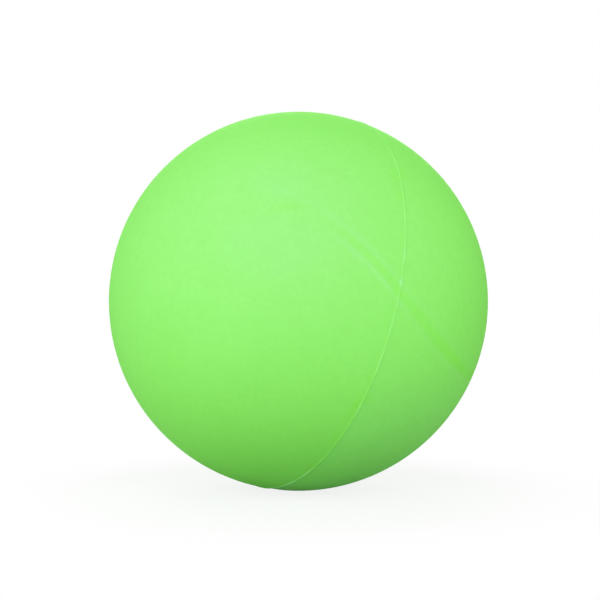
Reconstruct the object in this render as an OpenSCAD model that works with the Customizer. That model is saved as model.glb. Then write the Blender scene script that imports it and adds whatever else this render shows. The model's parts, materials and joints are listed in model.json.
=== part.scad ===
// An inflatable playground dodgeball, standing as photographed, with +Z up and its centre at the origin.
// From the outside in: two dumbbell-shaped rubber blanks, the strip that joins them, a layer of wound
// thread, an air bladder, and a valve in two pieces at one pole of the mould.

/* [Ball] */
// Outside diameter of the inflated ball
ball_d = 216; // [150:1:260]
// Thickness of the rubber cover
cover_t = 1.3; // [0.8:0.1:2.5]
// Thickness of the wound thread under the cover
winding_t = 0.4; // [0.2:0.1:1]
// Thickness of the air bladder
bladder_t = 0.8; // [0.5:0.1:1.5]
// First turn of the whole ball, about X, in degrees
ball_turn_x = 12; // [-180:1:180]
// Second turn of the whole ball, about Y, in degrees
ball_turn_y = 44; // [-180:1:180]
// Third turn of the whole ball, about Z, in degrees
ball_turn_z = -149; // [-180:1:180]

/* [Mould line] */
// Width of the raised line left where the mould halves met
flash_w = 1.8; // [0.6:0.1:2.4]
// Height of that line above the cover
flash_h = 0.15; // [0.1:0.05:0.5]
// Tilt of the mould's axis away from the middle of the valve blank, in degrees
mould_tilt = 32.9; // [0:0.1:90]
// Turn of the mould's axis round the middle of the valve blank, in degrees
mould_turn = -167.5; // [-180:0.1:-110]

/* [Cover blanks] */
// Width of the strip that joins the blanks
strip_w = 8; // [4:0.5:12]
// How far the strip's face lies below the cover's
strip_sink = 0.05; // [0:0.05:0.5]
// How far the joint swings: a low share gives straight blanks, a high one gives narrow waists
swing_share = 0.263; // [0.15:0.001:0.32]

/* [Valve] */
// Diameter of the valve's neck, which shows in the cover
neck_d = 10; // [8:0.1:14]
// How far the neck's face lies below the cover
neck_sink = 0.2; // [0:0.05:0.5]
// Gap between the neck and the layers that it passes through
neck_gap = 0.1; // [0.05:0.01:0.3]
// Width of the bevel round the hole in the cover
rim_bevel = 0.5; // [0.2:0.1:0.6]
// Diameter of the flange that is bonded inside the bladder
flange_d = 34; // [26:1:50]
// Thickness of that flange
flange_t = 0.9; // [0.5:0.1:1.5]
// Length of the boss that stands into the air space, below the flange
boss_len = 13; // [10:0.5:20]
// Diameter of the boss at its free end
boss_tip_d = 9.4; // [9.2:0.1:14]
// Thickness of the wall that closes the boss's free end
boss_end_t = 1.6; // [1:0.1:3]
// Diameter of the hole in that wall, which the needle opens
vent_d = 1.2; // [0.6:0.1:2]
// Diameter of the plug's stem
plug_d = 5.6; // [5:0.1:6.2]
// Diameter of the plug's head
plug_head_d = 7.2; // [6.6:0.1:7.6]
// Height of the plug's head
plug_head_h = 1.2; // [0.8:0.1:2]
// Diameter of the rib that locks the plug in its seat
plug_rib_d = 7; // [6.4:0.1:7.4]
// Height of that rib
plug_rib_h = 2.4; // [1.5:0.1:4]
// Depth of the rib's upper edge below the plug's face
plug_rib_depth = 7; // [5:0.1:8]
// Diameter of the channel for the pump's needle
needle_hole_d = 2.3; // [1.8:0.1:2.6]
// Straight length of that channel
needle_hole_len = 8.5; // [6:0.1:9]
// Diameter of the funnel that guides the needle in
funnel_d = 3.8; // [3:0.1:5]
// Depth of the funnel
funnel_h = 0.9; // [0.5:0.1:1.5]

/* [Hidden] */

// Radii of the faces where one layer ends and the next begins
cover_r = ball_d / 2;
winding_r = cover_r - cover_t;
bladder_r = winding_r - winding_t;
air_r = bladder_r - bladder_t;

// The raised line is the outer part of a thin round bead with this radius
flash_r = (flash_w * flash_w / 4 + flash_h * flash_h) / (2 * flash_h);

// Levels on the valve's axis, measured from the ball's centre
face_z = cover_r - neck_sink;
flange_z = air_r - flange_t;
boss_z = flange_z - boss_len;
plug_end_z = boss_z + boss_end_t;
overrun = cover_t;

// Quarter turns, and the number of straight runs that stand for the joint's curve
quarter = 90;
seam_steps = 180;
blank_columns = 4;
seam_step = 4 * quarter / seam_steps;

// Half the strip's width as an angle at the ball's centre
strip_half = atan(strip_w / 2 / cover_r);

// The cutting shapes reach from well inside the cover to well outside it, because their flat outer
// faces sag between their corners
cutter_in_share = 0.85;
cutter_out_share = 1.2;
cutter_in_r = cover_r * cutter_in_share;
cutter_out_r = cover_r * cutter_out_share;

$fn = 180;

function unit(v) = v / norm(v);

// Direction of the joint's centre line at turn t, on the curve that also cuts a tennis ball's cover
function seam_dir(t) = [
  (1 - swing_share) * cos(t) + swing_share * cos(3 * t),
  (1 - swing_share) * sin(t) - swing_share * sin(3 * t),
  2 * sqrt(swing_share * (1 - swing_share)) * sin(2 * t)
];

// Direction of travel along that line
function seam_run(t) = [
  -(1 - swing_share) * sin(t) - 3 * swing_share * sin(3 * t),
  (1 - swing_share) * cos(t) - 3 * swing_share * cos(3 * t),
  4 * sqrt(swing_share * (1 - swing_share)) * cos(2 * t)
];

// Direction of a point beside the line, the angle away over the ball towards the plain blank
function beside(t, angle) =
  cos(angle) * seam_dir(t) + sin(angle) * unit(cross(seam_dir(t), seam_run(t)));

// Turn of station i, counted from the tip of a lobe and set half a step off it
function station(lobe, i) = lobe + (i + 0.5) * seam_step;

// Rows of directions over one blank, from edge to edge. The blank's lobes have their tips at the turns
// lobe and lobe + 180, and its two long edges mirror each other.
function blank_rows(lobe, angle) = [
  for (i = [0 : seam_steps / 2 - 1])
    let (
      near = beside(station(lobe, i), angle),
      far = beside(2 * lobe - station(lobe, i), angle)
    )
    [for (j = [0 : blank_columns]) unit(near + (far - near) * j / blank_columns)]
];

// Rows of directions across the strip, all round the ball
function strip_rows() = [
  for (i = [0 : seam_steps - 1])
    [beside(station(-quarter / 2, i), -strip_half), beside(station(-quarter / 2, i), strip_half)]
];

// A thick patch of the ball, closed all round where ring is true. Its side walls point at the centre.
module radial_patch(rows, ring) {
  columns = len(rows[0]);
  runs = ring ? len(rows) : len(rows) - 1;
  points = [
    for (row = rows, dir = row, r = [cutter_in_r, cutter_out_r]) r * dir
  ];
  function at(i, j, layer) = ((i % len(rows)) * columns + j) * 2 + layer;
  skins = [
    for (i = [0 : runs - 1], j = [0 : columns - 2], face = [
      [at(i, j, 1), at(i, j + 1, 1), at(i + 1, j + 1, 1)],
      [at(i, j, 1), at(i + 1, j + 1, 1), at(i + 1, j, 1)],
      [at(i, j, 0), at(i + 1, j + 1, 0), at(i, j + 1, 0)],
      [at(i, j, 0), at(i + 1, j, 0), at(i + 1, j + 1, 0)]
    ]) face
  ];
  side_walls = [
    for (i = [0 : runs - 1], face = [
      [at(i, 0, 0), at(i, 0, 1), at(i + 1, 0, 1), at(i + 1, 0, 0)],
      [at(i, columns - 1, 0), at(i + 1, columns - 1, 0), at(i + 1, columns - 1, 1), at(i, columns - 1, 1)]
    ]) face
  ];
  last = len(rows) - 1;
  end_walls = ring ? [] : [
    for (j = [0 : columns - 2], face = [
      [at(0, j, 0), at(0, j + 1, 0), at(0, j + 1, 1), at(0, j, 1)],
      [at(last, j, 0), at(last, j, 1), at(last, j + 1, 1), at(last, j + 1, 0)]
    ]) face
  ];
  polyhedron(points, concat(skins, side_walls, end_walls));
}

// The blanks' frame: the middle of the plain blank is at +Z and that of the valve blank at -Z
module in_blank_frame() {
  rotate([ball_turn_x, ball_turn_y, ball_turn_z]) children();
}

// The mould's frame: its axis is +Z, the valve is at that pole and the raised line is on the equator
module in_mould_frame() {
  in_blank_frame() rotate([0, 2 * quarter - mould_tilt, mould_turn]) children();
}

// Half section of a hollow ball, on the right of the axis
module shell_section(outer_r, inner_r) {
  intersection() {
    difference() {
      circle(outer_r);
      circle(inner_r);
    }
    translate([0, -outer_r]) square([outer_r, 2 * outer_r]);
  }
}

// The whole moulded cover with its raised line, before it is divided
module moulded_cover(outer_r) {
  in_mould_frame() rotate_extrude() intersection() {
    difference() {
      union() {
        circle(outer_r);
        translate([cover_r + flash_h - flash_r, 0]) circle(flash_r);
      }
      circle(winding_r);
    }
    translate([0, -ball_d]) square([ball_d, 2 * ball_d]);
  }
}

// Hole for the valve's neck, bevelled at the cover's face
module valve_hole() {
  hole_r = neck_d / 2 + neck_gap;
  in_mould_frame() {
    translate([0, 0, winding_r - overrun]) cylinder(r = hole_r, h = cover_t + 2 * overrun);
    translate([0, 0, cover_r - rim_bevel])
      cylinder(r1 = hole_r, r2 = hole_r + rim_bevel + overrun, h = rim_bevel + overrun);
  }
}

module plain_cover_blank() {
  color([0.61, 0.97, 0.48]) intersection() {
    moulded_cover(cover_r);
    in_blank_frame() radial_patch(blank_rows(-quarter / 2, strip_half), false);
  }
}

module valve_cover_blank() {
  color([0.61, 0.97, 0.48]) difference() {
    intersection() {
      moulded_cover(cover_r);
      in_blank_frame() radial_patch(blank_rows(quarter / 2, -strip_half), false);
    }
    valve_hole();
  }
}

module joint_strip() {
  color([0.59, 0.96, 0.43]) intersection() {
    moulded_cover(cover_r - strip_sink);
    in_blank_frame() radial_patch(strip_rows(), true);
  }
}

// A hollow layer under the cover, open where the valve's neck passes
module inner_layer(outer_r, inner_r) {
  in_mould_frame() rotate_extrude() difference() {
    shell_section(outer_r, inner_r);
    square([neck_d / 2 + neck_gap, cover_r]);
  }
}

module thread_winding() {
  color([0.93, 0.93, 0.88]) inner_layer(winding_r, bladder_r);
}

module bladder() {
  color([0.16, 0.16, 0.17]) inner_layer(bladder_r, air_r);
}

// Half section of the plug, which is also cut from its seat
module plug_section() {
  square([plug_d / 2, face_z]);
  translate([0, face_z - plug_head_h]) square([plug_head_d / 2, plug_head_h]);
  translate([0, face_z - plug_rib_depth - plug_rib_h]) square([plug_rib_d / 2, plug_rib_h]);
}

module valve_housing() {
  color([0.2, 0.2, 0.21]) in_mould_frame() rotate_extrude() difference() {
    union() {
      intersection() {
        shell_section(air_r, air_r - flange_t);
        square([flange_d / 2, cover_r]);
      }
      translate([0, flange_z]) square([neck_d / 2, face_z - flange_z]);
      polygon([
        [0, boss_z],
        [boss_tip_d / 2, boss_z],
        [neck_d / 2, flange_z],
        [0, flange_z]
      ]);
    }
    intersection() {
      plug_section();
      translate([0, plug_end_z]) square([flange_d, cover_r]);
    }
    square([vent_d / 2, cover_r]);
  }
}

module valve_plug() {
  color([0.3, 0.3, 0.31]) in_mould_frame() rotate_extrude() difference() {
    intersection() {
      plug_section();
      translate([0, plug_end_z]) square([flange_d, face_z - plug_end_z]);
    }
    translate([0, face_z - funnel_h - needle_hole_len]) square([needle_hole_d / 2, cover_r]);
    polygon([
      [0, face_z - funnel_h],
      [needle_hole_d / 2, face_z - funnel_h],
      [funnel_d / 2, face_z],
      [0, face_z]
    ]);
  }
}

plain_cover_blank();
valve_cover_blank();
joint_strip();
thread_winding();
bladder();
valve_housing();
valve_plug();
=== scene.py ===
# %% [markdown]
# A playground dodgeball, made of the pieces that such a ball is made of. Two dumbbell-shaped rubber blanks
# and the strip between them are the cover, and they are modelled here. The thread, the bladder and the
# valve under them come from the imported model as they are, and only get their finishes, because almost
# nothing of them shows.

# %% Load the frame
import json
import math

import bpy
import numpy as np
from mathutils import Euler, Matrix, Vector


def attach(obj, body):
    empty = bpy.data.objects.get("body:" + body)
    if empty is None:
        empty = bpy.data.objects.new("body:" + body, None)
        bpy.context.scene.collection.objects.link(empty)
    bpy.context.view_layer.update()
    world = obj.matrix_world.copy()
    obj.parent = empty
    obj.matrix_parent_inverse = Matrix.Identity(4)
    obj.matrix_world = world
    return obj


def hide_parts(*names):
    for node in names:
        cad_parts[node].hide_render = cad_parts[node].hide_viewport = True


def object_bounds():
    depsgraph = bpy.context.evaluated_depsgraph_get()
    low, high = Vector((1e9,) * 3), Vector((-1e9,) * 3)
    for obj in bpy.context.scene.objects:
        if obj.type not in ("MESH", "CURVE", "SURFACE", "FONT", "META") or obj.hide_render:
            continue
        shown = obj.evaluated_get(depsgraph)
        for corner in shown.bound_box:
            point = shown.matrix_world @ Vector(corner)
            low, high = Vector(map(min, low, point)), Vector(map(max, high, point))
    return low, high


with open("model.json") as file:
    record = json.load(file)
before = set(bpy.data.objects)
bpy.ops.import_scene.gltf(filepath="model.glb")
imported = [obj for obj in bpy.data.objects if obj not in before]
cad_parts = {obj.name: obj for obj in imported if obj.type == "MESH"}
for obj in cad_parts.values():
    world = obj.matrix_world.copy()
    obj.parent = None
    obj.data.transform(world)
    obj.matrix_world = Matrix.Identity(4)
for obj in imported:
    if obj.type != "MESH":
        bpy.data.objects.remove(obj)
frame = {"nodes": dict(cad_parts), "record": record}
cad_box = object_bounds()
print("the packed model's box:", [tuple(round(c, 5) for c in corner) for corner in cad_box])

# %% [markdown]
# All sizes are real ones, in metres. The ball's radius is the way from its middle to the nearest side of the
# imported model's box, so that the finer mesh stays inside it. The mould's axis is the axis of the needle's
# hole, because the valve sits at one pole of the mould. The turns of the blanks are the same as in the packed
# model, so that the modelled cover lies where the solid one does.

# %% Sizes and axes of the ball
MM = 0.001
cover_r = min(abs(side) for corner in cad_box for side in corner)
cover_t = 1.3 * MM
winding_r = cover_r - cover_t
strip_w = 8 * MM
swing_share = 0.263
ball_turns = (12, 44, -149)
blank_frame = np.array(Euler([math.radians(a) for a in ball_turns], "XYZ").to_matrix())

needle_hole = next(m for m in frame["record"]["mounts"] if m["name"] == "needle_hole")
mould_axis = np.array(Vector(needle_hole["axis"]).normalized())
print("cover radius %.2f mm, thread radius %.2f mm" % (cover_r / MM, winding_r / MM))
print("mould axis", mould_axis.round(4))

# %% [markdown]
# The joint between the blanks swings round the ball on the curve that also cuts a tennis ball's cover. Its
# formula gives a direction for each turn t. A point beside the line lies on the great circle that crosses
# the line there at a right angle. NumPy works on whole lists of turns at once, which a loop over points in
# Python would do far more slowly.

# %% The joint's curve
def seam_dir(t):
    share = swing_share
    return np.stack([
        (1 - share) * np.cos(t) + share * np.cos(3 * t),
        (1 - share) * np.sin(t) - share * np.sin(3 * t),
        2 * math.sqrt(share * (1 - share)) * np.sin(2 * t),
    ], axis=-1)


def seam_run(t):
    share = swing_share
    return np.stack([
        -(1 - share) * np.sin(t) - 3 * share * np.sin(3 * t),
        (1 - share) * np.cos(t) - 3 * share * np.cos(3 * t),
        4 * math.sqrt(share * (1 - share)) * np.cos(2 * t),
    ], axis=-1)


def unit(vectors):
    return vectors / np.linalg.norm(vectors, axis=-1, keepdims=True)


def beside(t, angle):
    across = unit(np.cross(seam_dir(t), seam_run(t)))
    directions = np.cos(angle)[..., None] * seam_dir(t) + np.sin(angle)[..., None] * across
    return directions @ blank_frame.T


stations = 720
station_step = 2 * math.pi / stations
strip_half = math.atan(strip_w / 2 / cover_r)
seam_turns = (np.arange(stations) + 0.5) * station_step
seam_line = beside(seam_turns, np.zeros(stations))
seam_steps = np.linalg.norm(seam_line - np.roll(seam_line, 1, 0), axis=1)
print("the joint is %.0f mm long" % (seam_steps.sum() * cover_r / MM))

# %% [markdown]
# Every vertex of the cover can be asked where it lies: how far from the joint's centre line and at which
# turn, how far from the plane where the mould halves met, and at which angle round the mould's axis. The
# relief of the cover and the masks of its finish are both worked out from these numbers.

# %% Where a point of the cover lies
line_x = unit(np.cross(mould_axis, [0, 0, 1]))
line_y = np.cross(mould_axis, line_x)
# so many points at once, to save memory, and the angle in radians up to which the distance is exact
batch = 8000
exact_within = 0.3


def joint_place(directions):
    """Signed distance from the joint's centre line, positive towards the plain blank, and the turn."""
    gap = np.empty(len(directions))
    turn = np.empty(len(directions))
    across = unit(np.cross(seam_dir(seam_turns), seam_run(seam_turns))) @ blank_frame.T
    for start in range(0, len(directions), batch):
        part = directions[start:start + batch]
        nearness = part @ seam_line.T
        nearest = nearness.argmax(1)
        angle = np.arccos(np.clip(nearness[np.arange(len(part)), nearest], -1, 1))
        off_line = (part * across[nearest]).sum(1)
        exact = np.arcsin(np.clip(off_line, -1, 1))
        gap[start:start + batch] = np.where(angle < exact_within, exact, np.sign(off_line) * angle) * cover_r
        turn[start:start + batch] = np.degrees(seam_turns[nearest])
    return gap, turn


def mould_place(directions):
    """Distance from the plane where the mould halves met, and the angle round the mould's axis in degrees."""
    height = np.arcsin(np.clip(directions @ mould_axis, -1, 1)) * cover_r
    angle = np.degrees(np.arctan2(directions @ line_y, directions @ line_x))
    return height, angle


print("angles round the mould are counted from", line_x.round(4))

# %% [markdown]
# A few marks are told by where the camera sees them, as shares of the outline's radius to the right and up
# from the ball's middle. A ray from the camera meets the ball at the point that carries such a mark. The mark
# then stays on that point of the ball, from whatever side it is seen.

# %% Where the camera sees a point
camera_away = 0.7236


def seen_at(right, up):
    """The direction of the point of the ball that the camera sees at these shares of the outline's radius."""
    spread = cover_r / math.sqrt(camera_away ** 2 - cover_r ** 2)
    eye = np.array([0, -camera_away, 0])
    ray = unit(np.array([right * spread, 1, up * spread]))
    nearness = -ray @ eye
    return unit(eye + ray * (nearness - math.sqrt(nearness ** 2 - eye @ eye + cover_r ** 2)))


print("the middle of the view meets the ball at", seen_at(0, 0))

# %% [markdown]
# The relief is very low, because a moulded ball is nearly smooth. Heights fade in and out through two soft
# curves: a smooth step from 0 to 1, and a bell. Both also shape the masks of the finish later on.

# %% Soft curves
def smooth_step(low, high, value):
    share = np.clip((value - low) / (high - low), 0, 1)
    return share * share * (3 - 2 * share)


def bell(value, middle, spread):
    return np.exp(-((value - middle) / spread) ** 2)


def rise_and_fall(angles, angle):
    """0 outside the outer two of the four angles and 1 between the inner two."""
    return smooth_step(angles[0], angles[1], angle) * (1 - smooth_step(angles[2], angles[3], angle))


print("half way up, a smooth step gives", smooth_step(0, 1, 0.5))

# %% [markdown]
# The mould line is a rounded ridge, a little higher at some spots and highest near the bottom, where the
# flash was left on. One half of the mould sat a little deeper than the other, so the cover drops on one side
# of the line and comes back up slowly. A bump in the material could show such a line too, but real height
# catches the light from every side and stays in the mesh.

# %% Relief of the mould line
ridge_w = 1.4 * MM
ridge_h = 0.21 * MM
# share of the height by which the ridge wavers, and how many times round the ball
ridge_waver = ((0.12, 7), (0.08, 23))
# angles round the mould in degrees, also those of the flash and of the drop
ridge_spots = (-16.7, -5.3, -0.4, 30.8)
spot_len = 1.1 * MM
spot_h = 0.15 * MM
flash_angles = (50, 62, 80, 100)
flash_h = 0.12 * MM
drop_angles = (5, 25, 90, 130)
drop_h = 0.16 * MM
drop_least = 0.2
# where the drop begins, where it is deepest and where it ends, from the line
drop_reach = (0.2 * MM, 1.7 * MM, 14 * MM)


def mould_relief(height, angle):
    waver = sum((share * np.sin(np.radians(angle * times)) for share, times in ridge_waver), start=1)
    spots = sum(bell(np.radians(angle - spot) * cover_r, 0, spot_len) for spot in ridge_spots)
    flash = rise_and_fall(flash_angles, angle)
    crest = ridge_h * waver + spot_h * spots + flash_h * flash
    drop = drop_h * (drop_least + (1 - drop_least) * rise_and_fall(drop_angles, angle) + flash)
    lower = smooth_step(*drop_reach[:2], height) * (1 - smooth_step(*drop_reach[1:], height))
    return crest * np.clip(1 - (2 * height / ridge_w) ** 2, 0, 1) - drop * lower


print("the ridge is %.2f mm high, and %.2f mm with the flash" % (ridge_h / MM, (ridge_h + flash_h) / MM))

# %% [markdown]
# The joint shows as a band, with a pale lip on each side and a deeper green between them. The band changes
# along its run: it shows clearly in front, dies away towards the upper left, and shows again round the back.
# A table says what it is like at some turns of the joint, and the turns between them are filled in evenly.

# %% Marks along the joint
# turn of the joint in degrees, then places and widths in mm from its centre line, and strengths from 0 to 1
mark_columns = ("turn", "upper_at", "upper_strength", "middle_at", "middle_strength", "middle_half",
                "lower_at", "lower_strength")
joint_marks = np.array((
    (66, -5.0, 0.0, -0.8, 0.0, 1.0, 1.0, 0.0),
    (72, -5.0, 0.0, -0.8, 0.0, 1.0, 2.0, 0.25),
    (76, -5.0, 0.0, -0.8, 0.1, 1.0, 3.2, 0.3),
    (80, -4.8, 0.15, -0.5, 0.22, 1.1, 3.4, 0.35),
    (85, -3.6, 0.8, 0.2, 0.38, 1.5, 4.0, 0.62),
    (90, -3.1, 0.95, 0.4, 0.5, 1.7, 3.9, 0.52),
    (95, -3.7, 0.8, 0.2, 0.38, 1.6, 4.0, 0.42),
    (100, -4.6, 0.4, 0.1, 0.6, 2.1, 5.0, 0.25),
    (105, -4.6, 0.4, 0.4, 0.68, 2.4, 6.2, 0.2),
    (111, -4.2, 0.4, 1.1, 0.9, 2.3, 6.8, 0.25),
    (117, -3.4, 0.35, 2.1, 1.0, 2.0, 6.6, 0.05),
    (122, -3.2, 0.3, 1.2, 0.6, 2.4, 6.2, 0.05),
    (150, -4.0, 0.3, 0.5, 0.6, 2.0, 4.5, 0.25),
    (280, -4.0, 0.3, 0.0, 0.6, 2.0, 4.0, 0.25),
    (325, -4.0, 0.0, 0.0, 0.0, 2.0, 4.0, 0.0),
))


def joint_mark(turn, column):
    return np.interp(turn, joint_marks[:, 0], joint_marks[:, mark_columns.index(column)])


print("the joint's marks are given at", len(joint_marks), "turns")

# %% [markdown]
# The strip lies a hair lower than the blanks, with soft shoulders and no step. The whole cover also sinks
# here and there by a few hundredths of a millimetre, as blown-up rubber does. A few sine waves that cross
# each other are enough for that. They fade where the ball touches its box, so that its size stays exact.

# %% Relief of the cover
strip_sink = 0.05 * MM
sink_reach = 3.8 * MM
sink_flat = sink_reach / 3
swell_h = 0.04 * MM
# how fast each wave runs along x, y and z, and by how much all of them are drawn out
swell_waves = np.array(((31, 17, 8), (-13, 37, 19), (23, -11, 43)))
swell_stretch = 3
# how near to the box's sides, as a share of the radius, the waves fade
swell_fade = 0.02


def cover_relief(directions):
    """Height over the ball's radius at each direction. Only the ridge stands above it."""
    gap, turn = joint_place(directions)
    shoulder = 1 - smooth_step(sink_flat, sink_reach, np.abs(gap))
    sunk = strip_sink * joint_mark(turn, "middle_strength") * shoulder
    waves = sum(1 + np.sin(directions @ wave / swell_stretch) for wave in swell_waves)
    off_box = smooth_step(0, swell_fade, 1 - np.abs(directions).max(1))
    swell = swell_h * (waves / (2 * len(swell_waves))) * off_box
    return mould_relief(*mould_place(directions)) - sunk - swell


print("the strip lies up to %.2f mm lower than the blanks" % (strip_sink / MM))

# %% [markdown]
# The edges of the blanks and of the strip lie on a space curve. A sphere cut by planes wouldn't give them,
# and a sphere cut by a boolean would leave ragged faces there. So each piece starts as a flat grid, whose
# corners are then laid on the ball: rows run across the piece and columns along it.

# %% A grid laid on the ball
def corners_of(piece):
    return np.array([v.co for v in piece.data.vertices])


def move_corners(piece, corners):
    piece.data.vertices.foreach_set("co", corners.ravel())


def laid_grid(name, rows, columns, place):
    """A grid primitive, its corners laid on the ball where place says for each row and column."""
    bpy.ops.object.select_all(action="DESELECT")
    bpy.ops.mesh.primitive_grid_add(x_subdivisions=rows - 1, y_subdivisions=columns - 1, size=2)
    piece = bpy.context.object
    piece.name = piece.data.name = name
    corners = corners_of(piece)
    row = np.rint((corners[:, 0] + 1) / 2 * (rows - 1)).astype(int)
    column = np.rint((corners[:, 1] + 1) / 2 * (columns - 1)).astype(int)
    move_corners(piece, place(row, column) * cover_r)
    print(name, "starts with", len(piece.data.vertices), "corners")
    return piece


print("a grid is laid on a ball of %.2f mm radius" % (cover_r / MM))

# %% [markdown]
# The two blanks have one shape. Each row of a blank spans from the strip's edge at one turn of the joint to
# its edge at the turn mirrored about the blank's round end, as a strap lies across a dumbbell. The columns
# crowd together near both edges, where the lips need finer faces. The strip's rows lie square to the joint.
# The rows of the blanks and of the strip end at the same stations, so that their edges meet point for point.

# %% Blanks and strip
blank_rows = stations // 2
fine_shares = (0, 0.004, 0.008, 0.013, 0.019, 0.026, 0.035, 0.046, 0.06)
plain_shares = tuple(np.linspace(0.076, 0.924, 51))
blank_shares = np.array(fine_shares + plain_shares + tuple(1 - share for share in reversed(fine_shares)))
strip_shares = np.linspace(-1, 1, 19)


def blank_place(lobe, side):
    def place(row, column):
        turn = lobe + (row + 0.5) * station_step
        near = beside(turn, np.full(len(row), side * strip_half))
        far = beside(2 * lobe - turn, np.full(len(row), side * strip_half))
        share = blank_shares[column][:, None]
        return unit(near + (far - near) * share)
    return place


def strip_place(row, column):
    return beside((row + 0.5) * station_step, strip_half * strip_shares[column])


plain_blank = laid_grid("plain_blank_skin", blank_rows, len(blank_shares), blank_place(-math.pi / 4, 1))
valve_blank = laid_grid("valve_blank_skin", blank_rows, len(blank_shares), blank_place(math.pi / 4, -1))
strip = laid_grid("joint_strip_skin", stations + 1, len(strip_shares), strip_place)
cover_pieces = (plain_blank, valve_blank, strip)

# %% [markdown]
# Work in edit mode needs the right piece alone in it, and the right faces selected. Faces are chosen here by
# where their middles lie, as one would circle them with the mouse. Bisect cuts an edge loop wherever a plane
# meets the selected faces.

# %% Helpers for edit mode
cut_threshold = 0.001 * MM


def alone(piece):
    bpy.ops.object.select_all(action="DESELECT")
    piece.select_set(True)
    bpy.context.view_layer.objects.active = piece


def edit(piece):
    alone(piece)
    bpy.ops.object.mode_set(mode="EDIT")
    bpy.ops.mesh.select_all(action="SELECT")


def select_near(piece, point, reach):
    """From object mode, enters edit mode with the faces near the point. Says whether there are any."""
    middles = np.empty(len(piece.data.polygons) * 3)
    piece.data.polygons.foreach_get("center", middles)
    chosen = np.linalg.norm(middles.reshape(-1, 3) - point, axis=1) < reach
    alone(piece)
    bpy.ops.object.mode_set(mode="EDIT")
    bpy.ops.mesh.select_mode(type="FACE")
    bpy.ops.mesh.select_all(action="DESELECT")
    bpy.ops.object.mode_set(mode="OBJECT")
    piece.data.polygons.foreach_set("select", chosen)
    bpy.ops.object.mode_set(mode="EDIT")
    bpy.ops.mesh.select_mode(type="VERT")
    return chosen.any()


def cut(point, normal, clear=False):
    bpy.ops.mesh.bisect(plane_co=point, plane_no=normal, threshold=cut_threshold, clear_outer=clear)


print("cuts merge what is closer than %.3f mm" % (cut_threshold / MM))

# %% [markdown]
# The mould line is a great circle, so a flat cut finds it exactly. A set of planes side by side gives the
# ridge its loops, and short cuts across it, made only in the faces near each spot, give the spots theirs.
# Subdividing the whole skin that finely would take millions of faces. Merging by distance first closes the
# strip's ring, whose two ends lie on each other.

# %% Loops for the mould line
ridge_loops = np.array((0, 0.2, 0.35, 0.48, 0.58, 0.65, 0.7, 0.85, 1.05, 1.35, 1.7, 2.2, 3, 4, 5.2)) * MM
spot_cuts = np.linspace(-2.4, 2.4, 13) * MM
spot_reach = 3.2 * MM

for piece in cover_pieces:
    edit(piece)
    bpy.ops.mesh.remove_doubles(threshold=cut_threshold)
    for offset in ridge_loops:
        for side in (1, -1):
            bpy.ops.mesh.select_all(action="SELECT")
            cut(side * offset * mould_axis, mould_axis)
    bpy.ops.object.mode_set(mode="OBJECT")
    for spot in ridge_spots:
        outward = math.cos(math.radians(spot)) * line_x + math.sin(math.radians(spot)) * line_y
        along_ridge = np.cross(mould_axis, outward)
        for offset in spot_cuts:
            if select_near(piece, outward * cover_r, spot_reach):
                cut(offset * along_ridge, along_ridge)
            bpy.ops.object.mode_set(mode="OBJECT")
    print(piece.name, "has", len(piece.data.vertices), "corners with the ridge's loops")

# %% [markdown]
# The valve shows in a small round hole at the mould's pole. A plane square to the mould's axis cuts the ball
# in a true circle, so the same tool makes the hole. The faces there are subdivided first, and their new
# corners moved out to the ball, so that the circle comes out round. The last cut also clears what lies beyond
# it.

# %% Hole for the valve
hole_r = 5.1 * MM
rim_bevel = 0.5 * MM
hole_loops = (9 * MM, 7.5 * MM, 6.6 * MM, 6 * MM, hole_r + rim_bevel)
hole_reach = 12 * MM
hole_subdivisions = 7


def circle_cut(radius, clear=False):
    bpy.ops.mesh.select_all(action="SELECT")
    cut(mould_axis * math.sqrt(cover_r ** 2 - radius ** 2), mould_axis, clear)


select_near(valve_blank, mould_axis * cover_r, hole_reach)
bpy.ops.mesh.subdivide(number_cuts=hole_subdivisions)
bpy.ops.object.mode_set(mode="OBJECT")
move_corners(valve_blank, unit(corners_of(valve_blank)) * cover_r)
edit(valve_blank)
for radius in hole_loops:
    circle_cut(radius)
circle_cut(hole_r, clear=True)
bpy.ops.object.mode_set(mode="OBJECT")
print("the valve blank has", len(valve_blank.data.vertices), "corners with its hole")

# %% [markdown]
# Now every corner goes to its height over the ball. Then the skin gets its thickness: all faces are extruded
# and the new ones are drawn in to the thread's radius, which leaves walls that point at the ball's centre,
# just as the solid pieces have them. A Solidify modifier would copy the relief to the inside as well, where a
# real cover lies smooth on the thread.

# %% Shape and thickness
smooth_below = 35


def shape(piece):
    directions = unit(corners_of(piece))
    off_pole = np.arccos(np.clip(directions @ mould_axis, -1, 1)) * cover_r
    bevel = np.clip(hole_r + rim_bevel - off_pole, 0, rim_bevel)
    radius = cover_r + cover_relief(directions) - bevel
    move_corners(piece, directions * radius[:, None])


def thicken(piece):
    edit(piece)
    bpy.ops.mesh.normals_make_consistent(inside=False)
    bpy.ops.mesh.quads_convert_to_tris(quad_method="SHORTEST_DIAGONAL", ngon_method="BEAUTY")
    bpy.ops.mesh.extrude_region()
    bpy.ops.object.mode_set(mode="OBJECT")
    corners = corners_of(piece)
    drawn_in = np.array([v.select for v in piece.data.vertices])
    corners[drawn_in] = unit(corners[drawn_in]) * winding_r
    move_corners(piece, corners)
    edit(piece)
    bpy.ops.mesh.normals_make_consistent(inside=False)
    bpy.ops.object.mode_set(mode="OBJECT")
    bpy.ops.object.shade_smooth_by_angle(angle=math.radians(smooth_below))


for piece in cover_pieces:
    shape(piece)
    thicken(piece)
    print(piece.name, "has", len(piece.data.polygons), "faces")

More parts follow.
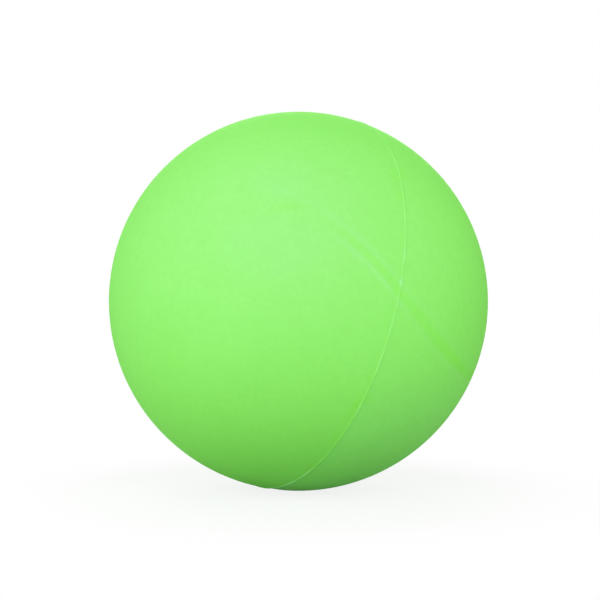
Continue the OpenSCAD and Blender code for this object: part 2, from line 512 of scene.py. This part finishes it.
# %% [markdown]
# The finish needs to know where the marks lie. Painting them by hand would do, but a formula puts them down
# exactly and the same each time, so masks from 0 to 1 are worked out for each corner. The first two are the
# joint's: pale lips run where the rubber was rubbed down beside the strip, and the strip itself is a deeper
# green.

# %% Masks of the joint
# widths in mm, and how the deep green fades from inside its edge to outside it
upper_lip_w = 1.1
lower_lip_w = 1.3
middle_fade = (-0.9, 1.3)


def joint_masks(directions):
    gap, turn = joint_place(directions)
    gap = gap / MM
    upper = joint_mark(turn, "upper_strength") * bell(gap, joint_mark(turn, "upper_at"), upper_lip_w)
    lower = joint_mark(turn, "lower_strength") * bell(gap, joint_mark(turn, "lower_at"), lower_lip_w)
    off_edge = np.abs(gap - joint_mark(turn, "middle_at")) - joint_mark(turn, "middle_half")
    middle = joint_mark(turn, "middle_strength") * (1 - smooth_step(*middle_fade, off_edge))
    return {"pale_lip": np.maximum(upper, lower), "deep_middle": middle}


print("the lips are about", 2 * upper_lip_w, "and", 2 * lower_lip_w, "mm wide")

# %% [markdown]
# The mould line's crest is pale where it was trimmed, and near the bottom, where the flash stands out, its
# pale colour is also a painted highlight of the light that the flash catches. Deeper green was pressed out
# beside it in patches.
# No rule says where, so each mark is a row of numbers in a table, and can be moved or left out alone.

# %% Marks along the mould line
# the strongest spots, from 61 to 79 degrees, are partly a painted highlight where the flash catches the light
# angle round the mould, half length in mm, strength
crest_spots = (
    (-61, 6, 0.25), (-45, 5, 0.2), (-36, 4, 0.1), (-23, 7, 0.08), (-13, 3.5, 0.33), (-5, 2.5, 0.45),
    (1, 1.5, 0.2), (7, 6, 0.2), (17, 7, 0.2), (31, 3, 0.3), (61, 5, 0.8), (70, 8, 1), (79, 9, 1),
    (150, 20, 0.2), (210, 25, 0.12),
)
# angle round the mould, half length in mm, strength, height over the line and half width in mm
pressed_patches = (
    (-38, 5, 0.7, -3.8, 1.8), (-31, 6, 0.4, -3.2, 1.5), (-17, 4, 0.3, -2.5, 1.2), (-2, 2.5, 0.8, -2.3, 1.2),
    (4, 6, 0.3, -3, 1.4), (22, 3, 0.6, -2.3, 1.2), (30, 7, 0.8, -2.3, 1.5), (36, 9, 0.5, -3.6, 2.2),
    (43, 5, 0.5, -3, 1.8), (43, 8, 0.35, 0, 0.9), (58, 8, 0.8, -2.5, 1.6), (-40, 4, 0.7, 2, 1.3),
    (28, 3, 0.8, 2.2, 1.6), (-2, 2, 0.5, 1.8, 1), (60, 8, 0.5, 2, 1.2), (140, 14, 0.5, -2.8, 1.6),
    (200, 12, 0.5, 2.5, 1.6),
)


def along_line(angle, mark):
    """The strength of a mark along the mould line, from its angle, half length and strength."""
    away = np.radians((angle - mark[0] + 180) % 360 - 180) * cover_r / MM
    return mark[2] * bell(away, 0, mark[1])


print("the mould line has", len(crest_spots), "pale spots and", len(pressed_patches), "pressed patches")

# %% [markdown]
# Near the bottom the pale line is wider and lies on one side of the flash, and there it is partly a painted
# highlight of the light that the flash catches. There one half of the mould also left its side of the line a
# little duller. Both come and go slowly, so smooth steps round the line and away from it are enough for them.

# %% Masks along the mould line
# the pale line's place and width in mm, and between which angles both grow by how much
crest_at = -0.1
crest_w = 0.6
crest_shift = (55, 75)
shift_by = 0.5
# angles between which the side is duller, and where this begins and ends, in mm from the line
dull_angles = (5, 35, 110, 150)
dull_edge = (-0.3, 1.2)
dull_reach = (60, 120)


def line_masks(directions):
    height, angle = mould_place(directions)
    height = height / MM
    # the pale crest, and near the bottom its shifted, wider part, is partly a painted highlight
    shift = shift_by * smooth_step(*crest_shift, angle)
    spots = sum(along_line(angle, spot) for spot in crest_spots)
    crest = np.minimum(spots, 1) * bell(height, crest_at + shift, crest_w + shift)
    pressed = sum(along_line(angle, patch) * bell(height, *patch[3:]) for patch in pressed_patches)
    dull = smooth_step(*dull_edge, height) * (1 - smooth_step(*dull_reach, height))
    return {"pale_crest_and_highlight": crest, "pressed": np.minimum(pressed, 1),
            "dull_side": dull * rise_and_fall(dull_angles, angle)}


print("the pale line grows from %.1f to %.1f mm wide" % (2 * crest_w, 2 * (crest_w + shift_by)))

# %% [markdown]
# Bloom is the whitish film that comes out of rubber with time. A wide, soft haze on the upper left is partly
# bloom and partly a painted sheen of the softboxes' light. The two faint clouds in it are painted reflections
# of the softboxes, so ovals on the ball are enough for both.

# %% Masks of the bloom, the painted sheen and the painted reflections
# the two clouds are painted reflections of the softboxes, and the haze is partly bloom and partly painted
# sheen
# where the camera sees the middle, and the half width and height, as shares of the outline's radius
softbox_reflections = (((-0.15, 0.29), 0.26, 0.16), ((-0.09, 0.66), 0.16, 0.13))
bloom_and_sheen_haze = ((-0.16, 0.46), 1.1, 0.8)
# between these shares of its size, an oval fades out
reflection_edge = (0.75, 1.15)
haze_edge = (0.1, 1.2)
# an oval ends before the far side of the ball, where its formula would repeat it
far_side = (-0.3, 0.2)


def oval_patch(directions, edge, seen, wide, tall):
    """1 in an oval round the point that the camera sees there, fading out between the two shares in edge."""
    middle = seen_at(*seen)
    upward = unit(np.cross(np.cross(middle, [0, 0, 1]), middle))
    off = directions - middle
    spread = np.hypot(off[:, 0] / wide, off @ upward / tall)
    return smooth_step(*far_side, directions @ middle) * (1 - smooth_step(*edge, spread))


def bloom_sheen_and_reflection_masks(directions):
    # painted reflections of the softboxes, then the haze of bloom and painted sheen
    clouds = sum(oval_patch(directions, reflection_edge, *cloud) for cloud in softbox_reflections)
    return {"softbox_reflection": clouds, "bloom_and_sheen_haze": oval_patch(directions, haze_edge, *bloom_and_sheen_haze)}


print("the haze is %.0f mm high" % (2 * bloom_and_sheen_haze[2] * cover_r / MM))

# %% [markdown]
# A mask becomes a named attribute on the piece's corners, which a material can read by its name and which
# stays in place when the piece is exported. The inner corners get the masks as well, which does no harm.

# %% Masks on the pieces
for piece in cover_pieces:
    directions = unit(corners_of(piece))
    masks = {**joint_masks(directions), **line_masks(directions), **bloom_sheen_and_reflection_masks(directions)}
    for name, values in masks.items():
        attribute = piece.data.attributes.new(name, "FLOAT", "POINT")
        attribute.data.foreach_set("value", values.astype(np.float32))
    print(piece.name, "carries", ", ".join(masks))

# %% [markdown]
# Materials are built from nodes. To keep them readable, a small class wraps a socket, so that sums and
# products of masks are written as Python expressions and each adds its own Math node. One method makes any
# other node: it takes the node's type, its settings, and the values or links of its sockets.

# %% A wrapper for shader maths
class Wire:
    def __init__(self, tree, socket):
        self.tree, self.socket = tree, socket

    def node(self, kind, settings=None, output=0, **values):
        """A new node. Settings are set first, and then the sockets: n2 is number 2, and _ is a space."""
        made = self.tree.nodes.new("ShaderNode" + kind)
        for setting, value in (settings or {}).items():
            setattr(made, setting, value)
        for name, value in values.items():
            key = int(name[1:]) if name[0] == "n" and name[1:].isdigit() else name.replace("_", " ")
            socket = made.inputs[key]
            if isinstance(value, Wire):
                self.tree.links.new(value.socket, socket)
            else:
                socket.default_value = value
        return Wire(self.tree, made.outputs[output])

    def math(self, operation, *values):
        return self.node("Math", {"operation": operation}, **{"n%d" % i: v for i, v in enumerate(values)})

    def __add__(self, other): return self.math("ADD", self, other)
    def __radd__(self, other): return self.math("ADD", other, self)
    def __sub__(self, other): return self.math("SUBTRACT", self, other)
    def __rsub__(self, other): return self.math("SUBTRACT", other, self)
    def __mul__(self, other): return self.math("MULTIPLY", self, other)
    def __rmul__(self, other): return self.math("MULTIPLY", other, self)
    def __truediv__(self, other): return self.math("DIVIDE", self, other)
    def __rtruediv__(self, other): return self.math("DIVIDE", other, self)


print("the wrapper adds a node for each operation")

# %% [markdown]
# A few helpers say the things that the finishes need in plain words: a soft band, a smooth step, a mix and a
# product of two colours, the distance along a direction and from an axis, and noise of a size. Colours and
# vectors have nodes of their own, because a Math node would turn a colour grey.

# %% Helpers for patterns
def soft_band(wire, middle, spread):
    """1 at the middle, falling off on both sides as a bell curve."""
    away = (wire - middle) / spread
    return wire.math("POWER", math.e, away * away * -1)


def step_up(wire, low, high):
    """0 below low, 1 above high, and smooth between."""
    return wire.node("MapRange", {"interpolation_type": "SMOOTHSTEP"},
                     Value=wire, From_Min=low, From_Max=high)


def two_colours(mask, low, high):
    """The first colour where the mask is 0 and the second where it is 1."""
    return mask.node("Mix", {"data_type": "RGBA"}, output=2, n0=mask, n6=(*low, 1), n7=(*high, 1))


def product(first, second):
    return first.node("Mix", {"data_type": "RGBA", "blend_type": "MULTIPLY"}, output=2,
                      n0=1.0, n6=first, n7=second)


def along(position, direction):
    return position.node("VectorMath", {"operation": "DOT_PRODUCT"}, output="Value",
                         n0=position, n1=tuple(direction))


def off_axis(position, direction):
    across = position.node("VectorMath", {"operation": "CROSS_PRODUCT"}, n0=position, n1=tuple(direction))
    return across.node("VectorMath", {"operation": "LENGTH"}, output="Value", n0=across)


def noise(position, size, detail=2.0, roughness=0.5):
    """Soft noise from 0 to 1 whose patches are about the size given."""
    return position.node("TexNoise", Vector=position, Scale=1 / size, Detail=detail, Roughness=roughness)


print("the helpers cover bands, steps, mixes and noise")

# %% [markdown]
# Every finish starts in the same way, from a Principled shader and the position on the object, so a helper
# makes both. Numbers that are the same all over go straight onto the shader's own sockets, and only what
# varies is linked. Grain far finer than the faces comes from bump.

# %% Helpers for materials
def new_material(name, **constants):
    """A material with one Principled shader, its constants set, and the position that patterns start from."""
    material = bpy.data.materials.new(name)
    material.use_nodes = True
    tree = material.node_tree
    shader = tree.nodes["Principled BSDF"]
    for socket, value in constants.items():
        shader.inputs[socket.replace("_", " ")].default_value = value
    position = Wire(tree, tree.nodes.new("ShaderNodeTexCoord").outputs["Object"])
    return material, shader, position


def feed(shader, **wires):
    for socket, wire in wires.items():
        wire.tree.links.new(wire.socket, shader.inputs[socket.replace("_", " ")])


def bumped(height, distance, strength=1.0):
    return height.node("Bump", Height=height, Distance=distance, Strength=strength)


print("a material starts from its name, its constants and the position")

# %% [markdown]
# The cover is matte green rubber. It is nearly one colour, so what makes it look real is slight: cloudy
# patches where the rubber was mixed, a finer mottle, a grain from the mould's blasted steel, and the marks of
# its making, with a painted sheen, painted reflections and a painted highlight among them. Each mark is a
# tint that multiplies the colour under it, so that marks may lie on each other. One short dark streak, a
# painted shade between the two painted reflections, is worked out from the position, because it is finer than
# the faces there.

# %% Colours of the cover
rubber_green = (0.276, 0.913, 0.131)
# the haze's tint is partly a painted sheen, the clouds' tint paints reflections, and the crest's tint is
# partly a painted highlight
tints = {
    "bloom_and_sheen_haze": (1.11, 0.92, 1.53), "dull_side": (1.0, 0.975, 1.19), "softbox_reflection": (1.015, 1.0, 1.07),
    "deep_middle": (0.92, 1.0, 0.73), "pale_lip": (1.09, 1.0, 1.31), "pressed": (0.93, 1.0, 0.7),
    "pale_crest_and_highlight": (1.65, 1.15, 2.9),
}
untinted = (1, 1, 1)
cloud_tints = ((0.985, 0.995, 0.97), (1.015, 1.005, 1.03))
mottle_tints = ((0.97, 0.98, 0.965), (1.03, 1.02, 1.035))
# painted shade: the streak is the darker gap between the two painted reflections on the upper left
reflection_gap_tint = (0.95, 1.0, 0.84)
# the streak's two ends where the camera sees them, its half width, and its length over its fading at each end
streak_ends = ((-0.14, 0.488), (0.025, 0.508))
streak_w = 2 * MM
streak_fade = 2.4


def reflection_gap_mask(position):
    start, end = (seen_at(*place) for place in streak_ends)
    middle, run = unit(start + end), unit(end - start)
    half = np.linalg.norm(end - start) * cover_r / streak_fade
    front = step_up(along(position, middle), 0, cover_r / 2)
    return (soft_band(along(position, run), float(middle @ run) * cover_r, half)
            * soft_band(along(position, np.cross(middle, run)), 0, streak_w) * front)


print("the cover has", len(tints), "tints for its marks")

# %% [markdown]
# The same recipe makes the finish of the blanks and of the strip, as two materials, so that either can be
# changed alone. The rubber is rough and has little gloss, which keeps its rims as green as its middle.

# %% Finish of the cover
cloud_size = 30 * MM
cloud_fade = (0.3, 0.7)
mottle_size = 5 * MM
mottle_fade = (0.25, 0.75)
speck_size = 0.9 * MM
grain_size = 0.35 * MM
grain_share = 0.6
grain_depth = 0.02 * MM
grain_strength = 0.5
rubber_gloss = 0.15
rubber_rough = 0.76
cloud_rough = 0.1
speck_smooth = 0.06


def rubber_finish(name):
    material, shader, position = new_material(name, Specular_IOR_Level=rubber_gloss)
    clouds = step_up(noise(position, cloud_size, detail=3), *cloud_fade)
    specks = noise(position, speck_size, detail=1)
    mottle = step_up(noise(position, mottle_size, detail=4, roughness=0.9), *mottle_fade)
    colour = product(two_colours(clouds, *cloud_tints), two_colours(mottle, *mottle_tints))
    colour = product(colour, (*rubber_green, 1))
    # these tints include the painted sheen, the painted reflections and the painted highlight
    for mask, tint in tints.items():
        strength = position.node("Attribute", {"attribute_name": mask}, output="Fac")
        colour = product(colour, two_colours(strength, untinted, tint))
    # the streak's painted shade between the painted reflections
    colour = product(colour, two_colours(reflection_gap_mask(position), untinted, reflection_gap_tint))
    grain = noise(position, grain_size, detail=2) * grain_share + specks * (1 - grain_share)
    feed(shader, Base_Color=colour, Roughness=rubber_rough + cloud_rough * clouds - speck_smooth * specks,
         Normal=bumped(grain, grain_depth, grain_strength))
    return material


blank_finish = rubber_finish("green_blank_rubber")
strip_finish = rubber_finish("green_strip_rubber")
print("the cover's finish has", len(blank_finish.node_tree.nodes), "nodes")

# %% [markdown]
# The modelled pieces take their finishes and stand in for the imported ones, which stay in the model for
# collisions and are only hidden. Each piece rides on the ball's one body.

# %% Cover pieces in place
for piece, node, slot, material in (
    (plain_blank, "plain_cover_blank", "cover_rubber", blank_finish),
    (valve_blank, "valve_cover_blank", "cover_rubber", blank_finish),
    (strip, "joint_strip", "strip_rubber", strip_finish),
):
    piece.data.materials.clear()
    piece.data.materials.append(material)
    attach(piece, "root")
    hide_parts(node)
print("the cover's pieces stand in for the packed ones")

# %% [markdown]
# The thread lies in great windings in every direction, stuck down with latex. On the ball, flat bands of
# waves look like threads side by side. Five sets of them with different directions, each shown in its own
# patches, look like yarn that was wound on for a long time. Real strands would take far more faces than a
# hidden layer is worth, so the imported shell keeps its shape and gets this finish.

# %% Finish of the thread
thread_pitch = 0.9 * MM
thread_directions = ((1, 0.2, 0.3), (-0.3, 1, 0.4), (0.2, -0.5, 1), (0.8, 0.9, -0.4), (-0.7, 0.3, 0.9))
thread_colours = ((0.42, 0.38, 0.28), (0.86, 0.83, 0.74))
thread_rough = 0.7
thread_depth = 0.15 * MM
patch_size = 25 * MM
# how many strands' heights the patches rise and fall by, so that one set of strands lies over another
patch_rise = 4
fibre_size = 0.12 * MM
fibre_share = 0.4
fibre_rough = 0.2
# between these heights the colour goes from the first to the second
thread_fade = (0.2, 1.4)


def finish_node(node, material):
    """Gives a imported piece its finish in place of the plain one."""
    frame["nodes"][node].data.materials.clear()
    frame["nodes"][node].data.materials.append(material)
    print(node, "has the finish", material.name)


material, shader, position = new_material("wound_thread")
height = None
for number, direction in enumerate(thread_directions):
    run = unit(np.array(direction))
    own_place = position.node("VectorMath", {"operation": "ADD"}, n0=position, n1=(number, 0, 0))
    phase = along(position, run) * (2 * math.pi / thread_pitch)
    wave = phase.math("SINE", phase)
    strands = (wave * 0.5 + 0.5) + noise(own_place, patch_size) * patch_rise
    height = strands if height is None else height.math("MAXIMUM", height, strands)
height = height - patch_rise / 2
fibre = noise(position, fibre_size, detail=3)
feed(shader, Base_Color=two_colours(step_up(height + fibre * fibre_share, *thread_fade), *thread_colours),
     Roughness=thread_rough + fibre_rough * fibre,
     Normal=bumped(height + fibre * (fibre_share / 2), thread_depth))
finish_node("thread_winding", material)

# %% [markdown]
# The bladder is black rubber, dusted with talc so that it doesn't stick to the thread. The dust lies thick in
# some places and thin in others, so a large noise says where it is and a fine one breaks it up.

# %% Finish of the bladder
bladder_black = (0.016, 0.016, 0.018)
bladder_rough = 0.45
talc = (0.11, 0.11, 0.105)
talc_rough = 0.35
dust_size = 14 * MM
dust_fade = (0.45, 0.75)
dust_grain = 0.5 * MM
dust_least = 0.4
dust_depth = 0.05 * MM
dust_rise = 0.5
bump_strength = 0.6

material, shader, position = new_material("dusted_bladder")
dust = step_up(noise(position, dust_size, detail=6, roughness=0.7), *dust_fade)
grain = noise(position, dust_grain, detail=3)
feed(shader, Base_Color=two_colours(dust * (dust_least + (1 - dust_least) * grain), bladder_black, talc),
     Roughness=bladder_rough + talc_rough * dust,
     Normal=bumped(grain + dust * dust_rise, dust_depth, bump_strength))
finish_node("bladder", material)

# %% [markdown]
# The valve's housing is the same black rubber without dust, with a little bloom in patches. It shows only as
# a ring in the cover's hole, so one noise for the patches and one for the grain are enough.

# %% Finish of the valve's housing
housing_black = (0.022, 0.022, 0.024)
housing_bloom = (0.05, 0.052, 0.05)
housing_rough = 0.5
bloom_rough = 0.2
bloom_size = 3 * MM
bloom_fade = (0.4, 0.75)
housing_grain = 0.25 * MM

material, shader, position = new_material("black_housing")
bloom = step_up(noise(position, bloom_size, detail=4), *bloom_fade)
grain = noise(position, housing_grain, detail=2)
feed(shader, Base_Color=two_colours(bloom, housing_black, housing_bloom),
     Roughness=housing_rough + bloom_rough * bloom, Normal=bumped(grain, grain_depth, bump_strength))
finish_node("valve_housing", material)

# %% [markdown]
# The insert in the housing is a softer, dark grey rubber. Where the pump's needle rubs, its mouth is darker
# and a little shinier, which the distance from the needle's axis tells.

# %% Finish of the valve's insert
plug_grey = (0.06, 0.06, 0.065)
plug_pale = (0.11, 0.11, 0.115)
plug_grain = 0.2 * MM
plug_rough = 0.6
mouth_r = 2.4 * MM
mouth_dark = 0.6
mouth_smooth = 0.25

material, shader, position = new_material("grey_plug")
mouth = 1 - step_up(off_axis(position, mould_axis), mouth_r / 2, mouth_r)
grain = noise(position, plug_grain, detail=3)
feed(shader, Base_Color=two_colours(grain * (1 - mouth_dark * mouth), plug_grey, plug_pale),
     Roughness=plug_rough - mouth_smooth * mouth, Normal=bumped(grain, grain_depth, bump_strength))
finish_node("valve_plug", material)

# %% [markdown]
# The photograph was taken from the ball's own height, straight on, in a tent of white light. The camera
# stands 0.72 m in front, level, with a long lens. Its small offset puts the ball where the photograph has it.

# %% Camera
camera_at = (0.0009, -camera_away, 0.0007)
lens_mm = 75.4
sensor_mm = 36
bpy.ops.object.select_all(action="DESELECT")
bpy.ops.object.camera_add(location=camera_at, rotation=(math.pi / 2, 0, 0))
camera = bpy.context.object
camera.data.lens = lens_mm
camera.data.sensor_width = sensor_mm
bpy.context.scene.camera = camera
print("the camera stands %.3f m in front" % -camera_at[1])

# %% [markdown]
# A tent of light could be built as white walls that glow, but a handful of softboxes takes less rendering
# and can be balanced one by one. Each is a round area light that faces the ball. Its level says how bright it
# alone would make a white ball at the brightest place, which is easier to think in than watts. Most of the
# light comes from round the camera, a little more of it from the left, and low boxes near the floor fill the
# underside. One box behind gives the ball's back a plain light too, and doesn't reach what the camera sees.

# %% Softboxes
softbox_size = 0.9
softbox_away = 1.3
low_box_size = 0.3
low_box_away = 0.38
# azimuth from the camera's side, positive to the right, and elevation, in degrees, with the level
softboxes = {
    (40, 20): 0.36, (-80, 20): 0.26, (0, 20): 0.23, (-40, 20): 0.215, (0, 40): 0.195, (-40, -15): 0.4,
    (80, 20): 0.15, (-120, 60): 0.19, (0, 80): 0.15, (-80, 0): 0.13, (40, -15): 0.18, (120, 60): 0.08,
    (180, 20): 0.6,
}


def softbox(azimuth, elevation, level):
    low = elevation < 0
    away = low_box_away if low else softbox_away
    turn, tilt = math.radians(azimuth), math.radians(elevation)
    place = Vector((math.sin(turn) * math.cos(tilt), -math.cos(turn) * math.cos(tilt), math.sin(tilt))) * away
    bpy.ops.object.light_add(type="AREA", location=place)
    box = bpy.context.object
    box.name = "softbox_%d_%d" % (azimuth, elevation)
    box.rotation_euler = (-place).to_track_quat("-Z", "Y").to_euler()
    box.data.shape = "DISK"
    box.data.size = low_box_size if low else softbox_size
    box.data.energy = level * (math.pi * (away - cover_r)) ** 2
    box.visible_camera = False


for (azimuth, elevation), level in softboxes.items():
    softbox(azimuth, elevation, level)
print("softboxes:", len(softboxes))

# %% [markdown]
# The background is pure white. The world and the floor show white to the camera, and to rays that a glossy
# or clear surface sends on. To all other rays the world is dark, so that the light on the ball comes from the
# softboxes alone and from what the floor throws back of it.

# %% World
white = (1, 1, 1)
dark = (0, 0, 0)


def seen_directly(tree):
    """1 for rays from the camera and for reflected and refracted ones, 0 for those that carry light."""
    path = tree.nodes.new("ShaderNodeLightPath")
    camera_ray, glossy, clear = (
        Wire(tree, path.outputs[name]) for name in ("Is Camera Ray", "Is Glossy Ray", "Is Transmission Ray"))
    return camera_ray.math("MAXIMUM", camera_ray, glossy.math("MAXIMUM", glossy, clear))


world = bpy.data.worlds.new("white_tent")
bpy.context.scene.world = world
world.use_nodes = True
backdrop = two_colours(seen_directly(world.node_tree), dark, white)
world.node_tree.links.new(backdrop.socket, world.node_tree.nodes["Background"].inputs["Color"])
print("the world shows white and sheds no light")

# %% [markdown]
# The floor is a plain plane under the ball. Near the ball it shows a share of its lit self, so that the
# ball's shadow lies on it, and further off it is white, so that it meets the background with no edge.

# %% Floor
floor_side = 6
# the floor's colour for the light that it throws back, and where it is seen
floor_grey = 0.5
floor_pale = 0.95
floor_rough = 0.9
white_share = 0.85
shadow_reach = (0.09, 0.2)

bpy.ops.mesh.primitive_plane_add(size=floor_side, location=(0, 0, -cover_r))
floor = bpy.context.object
floor.name = "floor"
material, shader, position = new_material("white_floor", Roughness=floor_rough, Specular_IOR_Level=0.0)
tree = material.node_tree
seen = seen_directly(tree)
far_off = step_up(off_axis(position, (0, 0, 1)), *shadow_reach)
share = seen * (white_share + (1 - white_share) * far_off)
feed(shader, Base_Color=two_colours(seen, (floor_grey,) * 3, (floor_pale,) * 3))
glow = share.node("Emission", Strength=1.0)
mixed = share.node("MixShader", n0=share, n1=Wire(tree, shader.outputs[0]), n2=glow)
tree.links.new(mixed.socket, tree.nodes["Material Output"].inputs["Surface"])
floor.data.materials.append(material)
print("the floor is %.0f m wide and touches the ball's lowest point" % floor_side)

# %% [markdown]
# The picture uses the Standard view transform, so that colours come out as they are written.

# %% Picture settings and finish
bpy.context.scene.view_settings.view_transform = "Standard"
